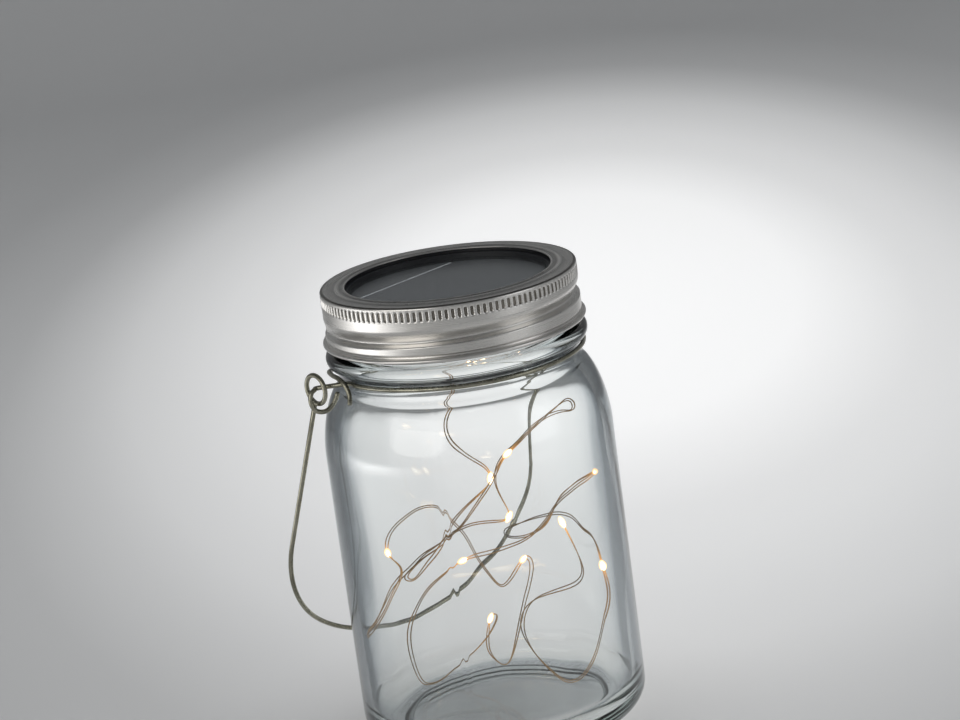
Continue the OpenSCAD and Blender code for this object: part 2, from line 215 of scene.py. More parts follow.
class Shader:
    """A node material with short calls for the nodes that this scene uses."""

    def __init__(self, name, **sockets):
        self.material = bpy.data.materials.new(name)
        self.material.use_nodes = True
        self.tree = self.material.node_tree
        self.surface = self.tree.nodes["Principled BSDF"]
        self.place = self.add("ShaderNodeTexCoord").outputs["Object"]
        for socket, value in sockets.items():
            self.set(socket, value)

    def add(self, kind, **settings):
        node = self.tree.nodes.new(kind)
        for key, value in settings.items():
            setattr(node, key, value)
        return node

    def link(self, source, target):
        self.tree.links.new(source, target)

    def set(self, socket, value):
        """Sets a number or a colour of the surface."""
        if isinstance(value, tuple):
            value = (*value, 1)
        self.surface.inputs[socket].default_value = value

    def math(self, operation, a, b=None):
        node = self.add("ShaderNodeMath", operation=operation)
        for i, value in enumerate((a, b)):
            if isinstance(value, (int, float)):
                node.inputs[i].default_value = value
            elif value is not None:
                self.link(value, node.inputs[i])
        return node.outputs[0]

    def coordinates(self):
        """The x, y and z of the shaded point, in metres."""
        split = self.add("ShaderNodeSeparateXYZ")
        self.link(self.place, split.inputs[0])
        return split.outputs

    def noise(self, scale, detail=3.0, vector=None, rough=0.5):
        node = self.add("ShaderNodeTexNoise")
        node.inputs["Scale"].default_value = scale
        node.inputs["Detail"].default_value = detail
        node.inputs["Roughness"].default_value = rough
        self.link(vector or self.place, node.inputs["Vector"])
        return node.outputs["Fac"]

    def ramp(self, source, stops):
        """A colour ramp; stops are (position, grey or colour)."""
        node = self.add("ShaderNodeValToRGB")
        elements = node.color_ramp.elements
        while len(elements) < len(stops):
            elements.new(0.5)
        for element, (position, tone) in zip(elements, stops):
            element.position = position
            element.color = (tone, tone, tone, 1) if isinstance(tone, (int, float)) else (*tone, 1)
        self.link(source, node.inputs["Fac"])
        return node.outputs["Color"]

    def multiplied(self, factor, colour, by):
        """colour times by where factor is 1, and colour alone where it is 0."""
        node = self.add("ShaderNodeMix", data_type="RGBA", blend_type="MULTIPLY")
        self.link(factor, node.inputs["Factor"])
        self.link(colour, node.inputs["A"])
        if isinstance(by, tuple):
            node.inputs["B"].default_value = (*by, 1)
        else:
            self.link(by, node.inputs["B"])
        return node.outputs["Result"]

    def bump(self, source, strength, distance):
        node = self.add("ShaderNodeBump")
        node.inputs["Strength"].default_value = strength
        node.inputs["Distance"].default_value = distance
        self.link(source, node.inputs["Height"])
        self.link(node.outputs["Normal"], self.surface.inputs["Normal"])


def moulded_plastic(name, dark, light, roughness):
    """Moulded plastic: a fine matte grain over two close tones."""
    cloud_scale, grain_scale, spread = 60, 900, 0.08
    s = Shader(name)
    grain = s.noise(grain_scale, 4)
    tones = s.ramp(s.noise(cloud_scale, 3), [(0.3, dark), (0.75, light)])
    s.link(tones, s.surface.inputs["Base Color"])
    dullness = s.ramp(grain, [(0.2, roughness - spread), (0.8, roughness + spread)])
    s.link(dullness, s.surface.inputs["Roughness"])
    s.bump(grain, 0.15, 0.04 * MM)
    return s.material


def drawn_metal(name, dark, light, roughness):
    """Bare metal with fine marks and patches of tarnish."""
    tarnish_scale, mark_scale = 140, 2500
    s = Shader(name, Metallic=1.0)
    tones = s.ramp(s.noise(tarnish_scale, 4), [(0.3, dark), (0.7, light)])
    s.link(tones, s.surface.inputs["Base Color"])
    marks = s.noise(mark_scale, 3)
    dullness = s.ramp(marks, [(0.25, roughness - 0.1), (0.8, roughness + 0.12)])
    s.link(dullness, s.surface.inputs["Roughness"])
    s.bump(marks, 0.12, 0.03 * MM)
    return s.material


def band_metal():
    """Satin sheet steel, brushed round the band: fine lines level on the skirt and rings on top.
    Painted shade darkens the knurl's slots, and painted highlights and shade make light and dark rings
    on top.
    """
    patch_scale, line_scale = 45.0, 5200.0
    knurl_low_z, knurl_in_r, slot_mouth_r = LID_TOP - 5.2 * MM, 36.3 * MM, 36.95 * MM
    flange_low_z, flange_in_r, flange_width = LID_TOP - 0.6 * MM, 29.6 * MM, 7.6 * MM
    s = Shader("satin_steel", Metallic=1.0)
    x, y, z = s.coordinates()
    radius = s.math("SQRT", s.math("ADD", s.math("MULTIPLY", x, x), s.math("MULTIPLY", y, y)))
    across = s.add("ShaderNodeCombineXYZ")
    s.link(s.math("MULTIPLY", x, patch_scale), across.inputs[0])
    s.link(s.math("MULTIPLY", y, patch_scale), across.inputs[1])
    s.link(s.math("MULTIPLY", s.math("ADD", radius, z), line_scale), across.inputs[2])
    lines = s.noise(1.0, 4, across.outputs[0], 0.6)
    cloud = s.noise(90, 4)
    tone = s.math("ADD", s.math("MULTIPLY", lines, 0.5), s.math("MULTIPLY", cloud, 0.5))
    stops = [(0.3, (0.62, 0.605, 0.58)), (0.5, (0.74, 0.72, 0.69)), (0.72, (0.83, 0.81, 0.78))]
    sheet = s.ramp(tone, stops)

    # Painted light that follows the shape: painted shade in the knurl's slots, and painted highlights
    # and shade as light and dark rings on top.
    in_knurl = s.math("GREATER_THAN", z, knurl_low_z)
    sunk = s.math("MULTIPLY", s.math("LESS_THAN", radius, slot_mouth_r), in_knurl)
    outside = s.math("GREATER_THAN", radius, knurl_in_r)
    # Painted shade: the sheet's colour is darkened where it dips into a slot.
    slot_shaded = s.multiplied(s.math("MULTIPLY", sunk, outside), sheet, (0.3, 0.285, 0.26))
    # Painted highlights and shade: bright rings where the flange's crests catch the light, dark rings
    # in its grooves.
    over_top = s.math("DIVIDE", s.math("SUBTRACT", radius, flange_in_r), flange_width)
    rings = s.ramp(over_top, [(0.0, 0.5), (0.07, 1.0), (0.13, 0.45), (0.25, 0.4), (0.34, 1.0),
                              (0.40, 0.95), (0.47, 0.5), (0.62, 0.66), (0.8, 0.72), (1.0, 0.5)])
    on_flange = s.math("GREATER_THAN", z, flange_low_z)
    s.link(s.multiplied(on_flange, slot_shaded, rings), s.surface.inputs["Base Color"])
    s.link(s.ramp(lines, [(0.2, 0.25), (0.8, 0.31)]), s.surface.inputs["Roughness"])
    s.bump(lines, 0.06, 0.01 * MM)
    return s.material


def clear_glass():
    """Pressed glass: clear, with painted shade that makes it greyer where it is seen edge on, and
    faintly green in its depth.
    """
    green, density = (0.62, 0.9, 0.78, 1), 9.0
    s = Shader("clear_glass", Roughness=0.0, IOR=1.5)
    s.set("Transmission Weight", 1.0)
    facing = s.add("ShaderNodeLayerWeight")
    facing.inputs["Blend"].default_value = 0.5
    # Painted shade: the colour grows dark where the surface is seen edge on, standing for the dark
    # edges that bent light gives thick glass.
    stops = [(0.0, (1.0, 1.0, 1.0)), (0.38, (0.98, 0.99, 0.99)), (0.52, (0.82, 0.84, 0.86)),
             (0.61, (0.42, 0.46, 0.49)), (0.7, (0.12, 0.14, 0.16)), (1.0, (0.03, 0.04, 0.05))]
    s.link(s.ramp(facing.outputs["Facing"], stops), s.surface.inputs["Base Color"])
    body = s.add("ShaderNodeVolumeAbsorption")
    body.inputs["Color"].default_value = green
    body.inputs["Density"].default_value = density
    s.link(body.outputs[0], s.tree.nodes["Material Output"].inputs["Volume"])
    return s.material


def panel_film():
    """The satin clear resin over the solar cells: see-through from above, shiny at a low angle."""
    s = Shader("panel_film")
    clear = s.add("ShaderNodeBsdfTransparent")
    clear.inputs["Color"].default_value = (0.95, 0.96, 0.97, 1)
    sheen = s.add("ShaderNodeBsdfGlossy")
    s.link(s.ramp(s.noise(1500, 3), [(0.2, 0.28), (0.8, 0.38)]), sheen.inputs["Roughness"])
    weight = s.add("ShaderNodeLayerWeight")
    both = s.add("ShaderNodeMixShader")
    stops = [(0.0, 0.02), (0.5, 0.05), (0.75, 0.17), (1.0, 0.7)]
    s.link(s.ramp(weight.outputs["Facing"], stops), both.inputs["Fac"])
    s.link(clear.outputs[0], both.inputs[1])
    s.link(sheen.outputs[0], both.inputs[2])
    s.link(both.outputs[0], s.tree.nodes["Material Output"].inputs["Surface"])
    return s.material


def cell_silicon():
    """Dark silicon with fine silver collector lines across it."""
    s = Shader("cell_silicon", Roughness=0.35)
    wave = s.add("ShaderNodeTexWave", bands_direction="Y", wave_profile="SIN")
    wave.inputs["Scale"].default_value = 260.0
    wave.inputs["Distortion"].default_value = 0.0
    s.link(s.place, wave.inputs["Vector"])
    stops = [(0.0, (0.055, 0.06, 0.062)), (0.9, (0.065, 0.07, 0.072)), (0.97, (0.15, 0.16, 0.162))]
    s.link(s.ramp(wave.outputs["Fac"], stops), s.surface.inputs["Base Color"])
    return s.material


def circuit_green():
    """Green solder mask with a hint of the tracks under it."""
    s = Shader("board_green", Roughness=0.4)
    cells = s.add("ShaderNodeTexVoronoi", feature="DISTANCE_TO_EDGE", distance="MANHATTAN")
    cells.inputs["Scale"].default_value = 320.0
    s.link(s.place, cells.inputs["Vector"])
    stops = [(0.0, (0.05, 0.22, 0.12)), (0.1, (0.02, 0.11, 0.06))]
    s.link(s.ramp(cells.outputs["Distance"], stops), s.surface.inputs["Base Color"])
    return s.material


def string_wire():
    """Lacquered copper, dull in places. Its orange glow near each lamp stands for the lamp's light."""
    s = Shader("string_copper", Metallic=1.0)
    stops = [(0.35, (0.17, 0.16, 0.125)), (0.65, (0.6, 0.36, 0.15))]
    s.link(s.ramp(s.noise(55, 3), stops), s.surface.inputs["Base Color"])
    s.link(s.ramp(s.noise(2500, 3), [(0.25, 0.2), (0.8, 0.42)]), s.surface.inputs["Roughness"])
    light = s.add("ShaderNodeAttribute", attribute_name="lamp_light").outputs["Fac"]
    s.set("Emission Color", (1.0, 0.45, 0.1))
    s.link(light, s.surface.inputs["Emission Strength"])
    return s.material


def glowing_resin():
    """A drop of clear resin lit by the warm light inside it."""
    brightness = 6.0
    s = Shader("glowing_resin", Roughness=0.12)
    s.set("Base Color", (1.0, 0.84, 0.6))
    weight = s.add("ShaderNodeLayerWeight")
    weight.inputs["Blend"].default_value = 0.5
    facing = weight.outputs["Facing"]
    stops = [(0.0, (1.0, 0.88, 0.66)), (0.35, (1.0, 0.66, 0.30)), (1.0, (1.0, 0.40, 0.10))]
    s.link(s.ramp(facing, stops), s.surface.inputs["Emission Color"])
    core = s.ramp(facing, [(0.0, 1.0), (0.25, 0.45), (0.6, 0.2), (1.0, 0.12)])
    s.link(s.math("MULTIPLY", core, brightness), s.surface.inputs["Emission Strength"])
    return s.material


# The ribbon is metal in the real panel; here its pale matte colour is a painted sheen that stands in
# for the metal's shine under the resin.
MATERIALS = {
    "glass": clear_glass(),
    "band": band_metal(),
    "wire": drawn_metal("wire_steel", (0.24, 0.23, 0.175), (0.46, 0.445, 0.36), 0.24),
    "black": moulded_plastic("black_plastic", (0.012, 0.013, 0.015), (0.022, 0.023, 0.026), 0.5),
    "gasket": moulded_plastic("gasket_rubber", (0.5, 0.52, 0.52), (0.62, 0.64, 0.64), 0.6),
    "board": circuit_green(),
    "cells": cell_silicon(),
    # Painted sheen: the pale colour stands in for the ribbon's metal shine.
    "ribbon": moulded_plastic("ribbon_metal", (0.78, 0.8, 0.8), (0.9, 0.92, 0.92), 0.5),
    "film": panel_film(),
    "screw": drawn_metal("screw_steel", (0.42, 0.42, 0.43), (0.6, 0.6, 0.6), 0.3),
    "chip": moulded_plastic("chip_black", (0.02, 0.02, 0.022), (0.04, 0.04, 0.042), 0.45),
    "ferrite": moulded_plastic("ferrite", (0.07, 0.07, 0.075), (0.12, 0.12, 0.125), 0.6),
    "capacitor": moulded_plastic("capacitor_sleeve", (0.02, 0.03, 0.12), (0.04, 0.05, 0.2), 0.25),
    "battery": moulded_plastic("battery_sleeve", (0.03, 0.22, 0.12), (0.06, 0.32, 0.18), 0.25),
    "contact": drawn_metal("contact_metal", (0.6, 0.55, 0.42), (0.75, 0.7, 0.58), 0.3),
    "slider": moulded_plastic("slider_white", (0.72, 0.72, 0.7), (0.82, 0.82, 0.8), 0.4),
    "lead": moulded_plastic("lead_plastic", (0.3, 0.02, 0.02), (0.42, 0.04, 0.03), 0.35),
    "grommet": moulded_plastic("grommet_rubber", (0.015, 0.015, 0.016), (0.03, 0.03, 0.03), 0.65),
    "copper": string_wire(),
    "glow": glowing_resin(),
}


# ---------------------------------------------------------------- light string

# The route of the light string, in millimetres, from inside the cup to its last light.
ROUTE_MM = [
    (-3, 0, 128), (-3, 0, 116), (-3, 2, 105), (-6, 5, 91), (-3, 9, 80), (5, 8, 71), (-7, 0, 63),
    (-16, -6, 53), (-21.5, -10, 49), (-23, -6, 50.5), (-6, -1, 60), (3, 2, 70), (10, 0, 80),
    (19, -8, 90), (28, -12, 98), (30, -8, 93), (23, -4, 92), (12, 4, 81), (5, 12, 69), (9, 14, 56),
    (-3, 8, 58), (-17, 2, 53), (-30, -2, 43), (-37, -8, 32), (-29, -14, 45), (-24, -12, 53),
    (-28, -6, 57), (-26, 4, 61), (-15, 12, 64), (-6, 18, 53), (-2, 20, 43), (4, 16, 34),
    (11, 10.5, 44.5), (13.5, 7.5, 42), (9, 12, 28), (3, 6, 13), (-4, 14, 15), (-1.5, 18.5, 24.5),
    (1, 22, 22.5), (-9, 24, 11), (-24, 14, 7), (-26, 4, 28), (-18, -2, 43), (-7, -10, 53),
    (3, -14, 56), (14, -14, 59), (23, -10, 67), (36, -2, 72), (26, 8, 64), (17, 14, 51),
    (8, 17.5, 49), (8, 21.5, 51), (26, 22, 53), (33, 14, 47), (34, 4, 41), (33, -6, 30),
    (21, -10, 10), (8, -18, 29), (11, -24, 43), (27, -20, 46), (23, -12, 61)]
LIT_POINTS = (5, 12, 19, 26, 32, 37, 43, 47, 54, 60)
ROUTE = [Vector(p) * MM for p in ROUTE_MM]


def wound_strand(line, rows, lit, per_step, sign):
    """One wire of the pair that winds round line, and how brightly the lamps at lit light it."""
    half_gap, pinch, turn_per_point = 0.28, 0.55, 0.035
    apart = waves((0.16, 0, 1 / 31, 0.4), (0.12, 0, 1 / 13, 2.0))
    twist = waves((2.2, 0, 1 / 47, 0.0), (1.3, 0, 1 / 19, 1.0))
    strand, warmth = [], []
    for i, (centre, (_, side, other)) in enumerate(zip(line, rows)):
        near = min(abs(i - k) for k in lit) / per_step
        gap = (half_gap + abs(apart(0, i))) * MM * min(1.0, pinch + near)
        turn = i * turn_per_point + twist(0, i)
        strand.append(centre + sign * gap * (math.cos(turn) * side + math.sin(turn) * other))
        warmth.append(0.8 * math.exp(-(near / 0.3) ** 2) + 0.2 * math.exp(-near / 0.7))
    return strand, warmth


def make_string():
    """Two thin wires that wander round each other along the route, with a resin drop at each light."""
    per_step, easing_passes = 16, 24
    line = relaxed(smooth_line(ROUTE, per_step), easing_passes)
    rows = sides_along(line)
    strand_r, sides = 0.17 * MM, 8
    lit = [i * per_step for i in LIT_POINTS]
    points, faces, warmth = [], [], []
    for sign in (-1, 1):
        strand, warm = wound_strand(line, rows, lit, per_step, sign)
        new_points, new_faces = tube_parts(strand, strand_r, sides, len(points))
        points += new_points
        faces += new_faces
        warmth += [w for w in [warm[0], *warm, warm[-1]] for _ in range(sides)]
    string = add_mesh("light_string", points, faces, MATERIALS["copper"])
    lit_up = string.data.attributes.new("lamp_light", "FLOAT", "POINT")
    lit_up.data.foreach_set("value", warmth)
    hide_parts("string_wire")
    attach(string, "solar_unit")

    for number, i in enumerate(lit, 1):
        drop = resin_drop(f"light_drop_{number:02d}", line[i], rows[i])
        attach(drop, "solar_unit")
    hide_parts("led_beads")


def resin_drop(name, centre, row):
    """A long drop of resin round one light: fat in the middle, drawn out thin along the wires."""
    heading, side, other = row
    half_length, radius, rings, sides = 1.95 * MM, 1.05 * MM, 14, 16
    fullness, flattened = 0.62, 0.92
    points, faces = [centre - heading * half_length], []
    for i in range(1, rings):
        t = -math.cos(math.pi * i / rings)
        r = radius * (1 - t * t) ** fullness
        for k in range(sides):
            a = 2 * math.pi * k / sides
            flat = 1.0 if abs(math.sin(a)) < 0.5 else flattened
            points.append(centre + heading * t * half_length
                          + r * flat * (math.cos(a) * side + math.sin(a) * other))
    points.append(centre + heading * half_length)
    for k in range(sides):
        j = (k + 1) % sides
        faces.append((0, 1 + j, 1 + k))
        faces += [(1 + i * sides + k, 1 + i * sides + j, 1 + (i + 1) * sides + j,
                   1 + (i + 1) * sides + k) for i in range(rings - 2)]
        end = 1 + (rings - 2) * sides
        faces.append((end + k, end + j, len(points) - 1))
    return add_mesh(name, points, faces, MATERIALS["glow"])


# ---------------------------------------------------------------- jar

THREAD_PITCH = 5.08 * MM
THREAD_FRONT_Z = LID_TOP - 10.1 * MM


def thread_height(degrees):
    """The height of the thread's helix, which is THREAD_FRONT_Z at the front of the jar."""
    return THREAD_FRONT_Z + THREAD_PITCH * (degrees + 90) / 360


def fade(degrees, ends):
    """1 along the thread, falling to 0 over its last 40 degrees at each end."""
    runout = 40
    return max(0.0, min(1.0, (degrees - ends[0]) / runout, (ends[1] - degrees) / runout))


def ramp_between(x, stops):
    """A soft S from each (x, value) stop to the next, level at the stops."""
    if x <= stops[0][0]:
        return stops[0][1]
    for (x0, v0), (x1, v1) in zip(stops, stops[1:]):
        if x <= x1:
            t = (x - x0) / (x1 - x0)
            t = t * t * (3 - 2 * t)
            return v0 + (v1 - v0) * t
    return stops[-1][1]


def on_helix(angle, height, ends, profile):
    """The depth, at one place, of a ridge or groove that climbs the thread's helix."""
    best = 0.0
    for turn in (-720, -360, 0, 360):
        degrees = math.degrees(angle) + turn
        if ends[0] < degrees < ends[1]:
            depth = ramp_between((height - thread_height(degrees)) / MM, profile)
            best = max(best, depth * fade(degrees, ends))
    return best * MM


def make_jar():
    """The pressed glass jar as one thick closed shell, with its thread, bead and mould seams."""
    wall, mouth_r, neck_r, shoulder_r = 2.8 * MM, 31.0 * MM, 34.6 * MM, 34 * MM
    heel_r, push_up = 7.6 * MM, 1.8 * MM
    floor_z = push_up + 3.2 * MM
    low, top = LID_TOP - 48.6 * MM, LID_TOP - 27.4 * MM
    bead_z = LID_TOP - 20.2 * MM
    finish_z, thread_top_z = bead_z + 3.4 * MM, RIM - 1.6 * MM
    lip_r, lip_inner_r = 1.3 * MM, 0.8 * MM
    inner_low = low - MM
    wall_steps, shoulder_steps, thread_steps, bore_steps = 26, 24, 30, 8

    def outer(t):
        """The outside of the shoulder, from the straight wall at t = 0 up to the neck."""
        r = shoulder_r + (BODY_R - shoulder_r) * (1 - t ** 1.75) ** (1 / 1.75)
        return (r, low + t * (top - low))

    def inner(t):
        """The inside of the shoulder, the same way."""
        r = mouth_r - MM + (BODY_R - wall - mouth_r + MM) * math.sqrt(1 - t * t)
        return (r, inner_low + t * (top - 1.5 * MM - low))

    foot = [(0, push_up), (14 * MM, push_up), (28.2 * MM, push_up), (29.6 * MM, 1.4 * MM),
            (30.6 * MM, 0.3 * MM), (31.0 * MM, 0), (34.5 * MM, 0)]
    side = arc(BODY_R - heel_r, heel_r, heel_r, -88, 0, 18)
    straight = [(BODY_R, heel_r + (low - heel_r) * i / wall_steps) for i in range(1, wall_steps)]
    shoulder = [outer(i / shoulder_steps) for i in range(shoulder_steps)]
    neck = blended([(35.4 * MM, top - 0.3 * MM), (35.0 * MM, top + 0.9 * MM),
                    (35.1 * MM, GROOVE_Z - 1.3 * MM), (35.5 * MM, GROOVE_Z),
                    (35.9 * MM, GROOVE_Z + 0.9 * MM)], 4)
    bead = arc(35.7 * MM, bead_z, 2.4 * MM, -62, 64, 18)
    finish = [(neck_r + 0.5 * MM, bead_z + 2.75 * MM), (neck_r, finish_z)]
    threads = [(neck_r, finish_z + (thread_top_z - finish_z) * i / thread_steps)
               for i in range(1, thread_steps + 1)]
    rim = arc(neck_r - lip_r, RIM - lip_r, lip_r, 10, 90, 6)
    rim += arc(mouth_r + lip_inner_r, RIM - lip_inner_r, lip_inner_r, 90, 180, 6)
    bore_top, bore_low = RIM - lip_inner_r, top + 2 * MM
    bore = [(mouth_r, bore_top - (bore_top - bore_low) * i / bore_steps)
            for i in range(1, bore_steps + 1)]
    inner_end = 0.97
    inside = [inner(i / shoulder_steps * inner_end) for i in range(shoulder_steps, -1, -1)]
    heel_top = floor_z + heel_r
    inside_wall = [(BODY_R - wall, inner_low - (inner_low - heel_top) * i / wall_steps)
                   for i in range(1, wall_steps)]
    inner_heel = arc(BODY_R - wall - heel_r, heel_top, heel_r, 0, -90, 14)
    inner_floor = [(18 * MM, floor_z), (6 * MM, floor_z + 0.2 * MM), (0, floor_z + 0.3 * MM)]
    outside = foot + side + straight + shoulder + neck + bead + finish + threads
    outline = outside + rim + bore + inside + inside_wall + inner_heel + inner_floor

    thread_rows = range(len(outside) - len(threads), len(outside))
    thread_profile, thread_ends = [(1.5, 0), (2.2, 1.15), (3.0, 1.15), (3.8, 0)], (-330, 40)
    inner_rows = range(len(outside) + len(rim) + len(bore), len(outline) - len(inner_floor))
    wobble_in = waves((0.06, 9, 60, 0.3), (0.025, 17, 70, 1.1), (0.007, 31, -80, 2.0),
                      (0.04, 5, -90, 0.7))
    wobble_out = waves((0.02, 7, 60, 0.0), (0.01, 13, -60, 1.5))
    seams = (math.radians(-103.7), math.radians(76.3))
    seam_height, seam_half, hollow_depth, hollow_half = 0.08, 0.35, 0.03, 2.5

    def shift(row, radius, height, angle):
        if row in thread_rows:
            return on_helix(angle, height, thread_ends, thread_profile)
        past_mouth = max(0.0, (radius - 31.5 * MM) / (3 * MM))
        above_foot = max(0.0, (height - 3 * MM) / (9 * MM))
        calm = min(1.0, past_mouth, above_foot)
        if row in inner_rows:
            return wobble_in(angle, height) * calm * MM
        if height > GROOVE_Z - 2 * MM or row < len(foot):
            return 0
        ridge = 0.0
        for seam in seams:
            off = math.remainder(angle - seam, 2 * math.pi) * radius / MM
            ridge += seam_height * math.exp(-(off / seam_half) ** 2)
            ridge -= hollow_depth * math.exp(-(off / hollow_half) ** 2)
        return (min(0.0, wobble_out(angle, height)) + ridge) * calm * MM

    jar = turned("glass_jar_clear", outline, 432, MATERIALS["glass"], shift)
    # Glass would block the direct light to all that it holds, so it casts no shadow.
    jar.visible_shadow = False
    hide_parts("glass_jar")
    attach(jar, "jar")


# ---------------------------------------------------------------- wires

WIRE_R = 0.7 * MM
WIRE_SIDES = 16
HOOK_REACH = 42.17 * MM
HOOK_LEFT = HINGE_MID - ALONG * HOOK_REACH
HOOK_RIGHT = HINGE_MID + ALONG * HOOK_REACH


def at_hook(hook, outward, place):
    """A point given as (outwards, back, up) in millimetres from a hook."""
    return hook + (outward * place[0] + BEHIND * place[1] + UP * place[2]) * MM


def polar(degrees, radius, height):
    """A point at an angle round the jar's axis."""
    a = math.radians(degrees)
    return Vector((radius * math.cos(a), radius * math.sin(a), height))


def make_neck_wire():
    """The wire round the neck: two hook loops on the hinge line and a tail over its own start."""
    ring_r = 36.5 * MM
    hook_in = [(-1.0, 0, 0.2), (0.4, 0.1, 0), (1.7, 0.3, -0.9), (2.3, 0.2, -3.2), (1.6, -0.1, -5.5),
               (0, -0.5, -6.6)]
    hook_end = [(-2.0, -1.2, -6.6), (-4.0, -2.0, -5.0), (-5.4, -2.6, -2.2)]
    hook_on = [(-2.2, -0.4, -6.3), (-4.6, 0.6, -4.4), (-7.0, 1.8, -1.4)]
    tail = [(186, 37.2, 0.9), (193, 38.3, 1.7), (200, 38.6, 1.8), (206, 38.6, 1.7), (210, 38.4, 0.6),
            (212, 38.2, -1.2), (213, 38.3, -3.0), (214, 39.0, -4.9)]
    corners = [at_hook(HOOK_LEFT, -ALONG, p) for p in reversed(hook_end)]
    corners += [at_hook(HOOK_LEFT, -ALONG, p) for p in reversed(hook_in)]
    corners += [polar(a, ring_r, GROOVE_Z) for a in [*range(209, 402, 6), 410]]
    corners += [at_hook(HOOK_RIGHT, ALONG, p) for p in hook_in + hook_on]
    corners += [polar(a, ring_r, GROOVE_Z) for a in range(68, 177, 6)]
    corners += [polar(a, r * MM, GROOVE_Z + z * MM) for a, r, z in tail]
    points, faces = tube_parts(smooth_line(corners, 6), WIRE_R, WIRE_SIDES)
    wire = add_mesh("neck_wire_round", points, faces, MATERIALS["wire"])
    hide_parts("neck_wire")
    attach(wire, "jar")


def make_handle():
    """The wire handle: a bow between two eyes, hanging back from the hinge line."""
    length, width, corner_r, bow_r, eye_r = (v * MM for v in (93.6, 47.6, 35, 55, 4.2))
    lean = math.radians(18.3)
    eye_steps = 60
    corner_x, bow_y = width - corner_r, length - bow_r
    corner_y = bow_y + math.sqrt((bow_r - corner_r) ** 2 - corner_x ** 2)
    away = Vector((corner_x - HOOK_REACH, corner_y - eye_r))
    flare = math.atan2(-away.x, away.y) - math.asin(corner_r / away.length)
    bow_a = math.atan2(corner_y - bow_y, corner_x)
    half = arc(corner_x, corner_y, corner_r, math.degrees(flare), math.degrees(bow_a), 40)
    half += arc(0, bow_y, bow_r, math.degrees(bow_a), 90, 24)[1:]
    straight = [(HOOK_REACH + (half[0][0] - HOOK_REACH) * t, eye_r + (half[0][1] - eye_r) * t)
                for t in (0, 0.33, 0.66)]
    down = -UP * math.cos(lean) + BEHIND * math.sin(lean)
    across = down.cross(ALONG)

    def place(x, y, out=0.0):
        return HINGE_MID + ALONG * x + down * y + across * out

    right = [place(x, y) for x, y in straight + half]
    left = [place(-x, y) for x, y in reversed((straight + half)[:-1])]
    points, faces = tube_parts(right + left, WIRE_R, WIRE_SIDES)
    for sign in (-1, 1):
        ring = []
        for i in range(eye_steps + 1):
            a = 2 * math.pi * i / eye_steps
            ring.append(place(sign * HOOK_REACH, eye_r * math.cos(a), eye_r * math.sin(a)))
        new_points, new_faces = tube_parts(ring, WIRE_R, WIRE_SIDES, len(points))
        points += new_points
        faces += new_faces
    handle = add_mesh("handle_wire_round", points, faces, MATERIALS["wire"])
    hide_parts("bail_handle")
    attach(handle, "bail")


# ---------------------------------------------------------------- lid

def make_band():
    """The screw band: one pressed sheet with a knurl, a pressed thread and a rolled foot."""
    sheet, band_r, edge_r, roll_r = 0.45 * MM, 37.15 * MM, 0.7 * MM, 0.65 * MM
    slots, slot_low, slot_high, slot_depth, rib_height = 128, -4.5, -1.35, 0.5, 0.06
    skirt_top, skirt_drop, skirt_steps = LID_TOP - 1.2 * MM, 12.6 * MM, 60
    steps_per_slot = 10

    def lid(pairs):
        """(radius, height) pairs in millimetres, with heights from the lid's top."""
        return [(r * MM, LID_TOP + z * MM) for r, z in pairs]

    lip = blended(lid([(29.85, -0.42), (29.85, -0.2), (30.1, 0.0), (30.35, -0.05), (30.7, -0.3),
                       (31.5, -0.34), (31.9, -0.1), (32.2, 0.0), (32.6, -0.03), (33.0, -0.3),
                       (33.8, -0.36), (35.2, -0.34)]), 4)
    edge = arc(band_r - edge_r, LID_TOP - 0.92 * MM, edge_r, 80, 0, 8)
    skirt = [(band_r, skirt_top - skirt_drop * i / skirt_steps) for i in range(1, skirt_steps + 1)]
    foot = blended(lid([(37.1, -14.1), (36.75, -14.6), (36.9, -14.95)]), 4)
    roll = arc(band_r + 0.4 * MM, BAND_LOW + roll_r, roll_r, 120, -150, 14)
    back = [(band_r - sheet, z) for _, z in reversed(skirt)]
    under = lid([(36.7, -1.4), (36.3, -0.75), (35.2, -0.54), (33.4, -0.54), (32.3, -0.34),
                 (31.4, -0.54), (30.6, -0.54), (30.25, -0.5)])
    outline = lip + edge + skirt + foot + roll + back + under
    first = len(lip) + len(edge)
    skirt_rows = range(first, first + len(skirt))
    back_rows = range(first + len(skirt) + len(foot) + len(roll), len(outline) - len(under))
    thread_profile, thread_ends = [(-1.5, 0), (-0.35, 1.8), (3.6, 0)], (-190, 185)

    def shift(row, radius, height, angle):
        if row not in skirt_rows and row not in back_rows:
            return 0
        pressed = -on_helix(angle, height, thread_ends, thread_profile)
        if row in skirt_rows:
            z = (height - LID_TOP) / MM
            rise = ramp_between(z, [(slot_low, 0), (slot_low + 0.7, 1), (slot_high - 0.6, 1),
                                    (slot_high, 0)])
            phase = math.cos(angle * slots)
            pressed -= slot_depth * MM * rise * min(1.0, max(0.0, phase + 0.1) / 0.7)
            pressed += rib_height * MM * rise * max(0.0, -phase)
        return pressed

    band = turned("screw_band_pressed", outline, slots * steps_per_slot, MATERIALS["band"], shift)
    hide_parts("screw_band")
    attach(band, "band")


def dress_cad_nodes():
    """Gives each CAD node that stays its material."""
    dress = {
        "solar_housing": "black", "rim_gasket": "gasket", "panel_board": "board",
        "solar_cells": "cells", "cell_ribbon": "ribbon", "panel_cover": "film",
        "bottom_cover": "black", "cover_screws": "screw", "circuit_board": "board",
        "driver_chip": "chip", "inductor": "ferrite", "capacitor": "capacitor",
        "battery_cell": "battery", "battery_spring": "contact", "battery_plate": "contact",
        "switch_body": "black", "switch_slider": "slider", "panel_leads": "lead",
        "battery_leads": "lead", "string_grommet": "grommet"}
    for node, material in dress.items():
        mesh = NODES[node].data
        mesh.materials.clear()
        mesh.materials.append(MATERIALS[material])


# ---------------------------------------------------------------- stage and light

